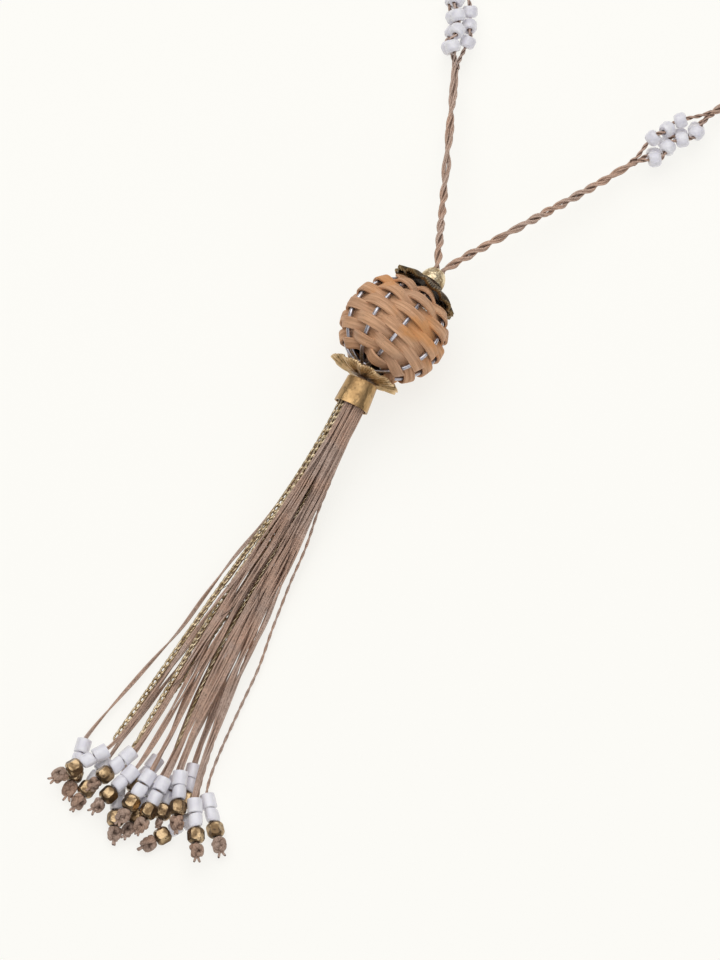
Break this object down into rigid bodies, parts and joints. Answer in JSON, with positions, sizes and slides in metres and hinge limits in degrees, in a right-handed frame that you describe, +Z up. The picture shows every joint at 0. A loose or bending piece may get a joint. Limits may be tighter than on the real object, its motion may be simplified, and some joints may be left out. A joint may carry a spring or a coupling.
{
  "type": "long tassel necklace",
  "caption": "Long necklace laid flat: braided linen cord with clusters of white beads, a woven rattan ball between brass petal cups, and a beaded thread and chain tassel.",
  "frame": {"origin": "on the table under the middle of the necklace's box", "axes": "+Z up from the table, +Y from the tassel towards the back of the neck loop, +X to the right seen from above with the neck loop away"},
  "size_m": [0.2142, 0.5244, 0.0306],
  "materials": {
    "linen": "waxed linen twine, taupe, matt with stray fibres",
    "rattan": "peeled rattan strip, dry and matt, tan with orange streaks",
    "steel_wire": "bright drawn wire",
    "brass_sheet": "pressed sheet brass, antiqued, darker in the flutes",
    "brass_dark": "pressed sheet brass, almost black inside, pale at the rim",
    "brass_tube": "hammered antique brass",
    "brass_pale": "polished pale brass",
    "brass_bead": "faceted brass, worn bright on the corners",
    "chain": "fine curb chain, pale brass with dark gaps",
    "white_seed": "opaque white glass bead, glossy, cool shade",
    "white_tube": "opaque white bead, satin, sharp flat ends"
  },
  "bodies": {
    "root": {"neck_cord": "linen", "neck_cord_back": "linen", "cluster_strands": "linen", "bead_cluster_1": "white_seed", "bead_cluster_2": "white_seed", "bead_cluster_3": "white_seed", "bead_cluster_4": "white_seed", "bead_cluster_5": "white_seed", "bead_cluster_6": "white_seed", "dome_bead": "brass_pale", "top_flower": "brass_dark", "rattan_weave": "rattan", "wire_ribs": "steel_wire", "bottom_flower": "brass_sheet", "tassel_tube": "brass_tube", "core_cord": "linen", "tassel": "linen", "chain_1": "chain", "chain_2": "chain", "chain_3": "chain", "chain_4": "chain", "brass_bead_01": "brass_bead", "brass_bead_02": "brass_bead", "brass_bead_03": "brass_bead", "brass_bead_04": "brass_bead", "brass_bead_05": "brass_bead", "brass_bead_06": "brass_bead", "brass_bead_07": "brass_bead", "brass_bead_08": "brass_bead", "brass_bead_09": "brass_bead", "brass_bead_10": "brass_bead", "brass_bead_11": "brass_bead", "brass_bead_12": "brass_bead", "brass_bead_13": "brass_bead", "brass_bead_14": "brass_bead", "brass_bead_15": "brass_bead", "brass_bead_16": "brass_bead", "white_beads_01": "white_tube", "white_beads_02": "white_tube", "white_beads_03": "white_tube", "white_beads_04": "white_tube", "white_beads_05": "white_tube", "white_beads_06": "white_tube", "white_beads_07": "white_tube", "white_beads_08": "white_tube", "white_beads_09": "white_tube", "white_beads_10": "white_tube", "white_beads_11": "white_tube", "white_beads_12": "white_tube", "white_beads_13": "white_tube", "white_beads_14": "white_tube", "white_beads_15": "white_tube", "white_beads_16": "white_tube"}
  },
  "joints": []
}
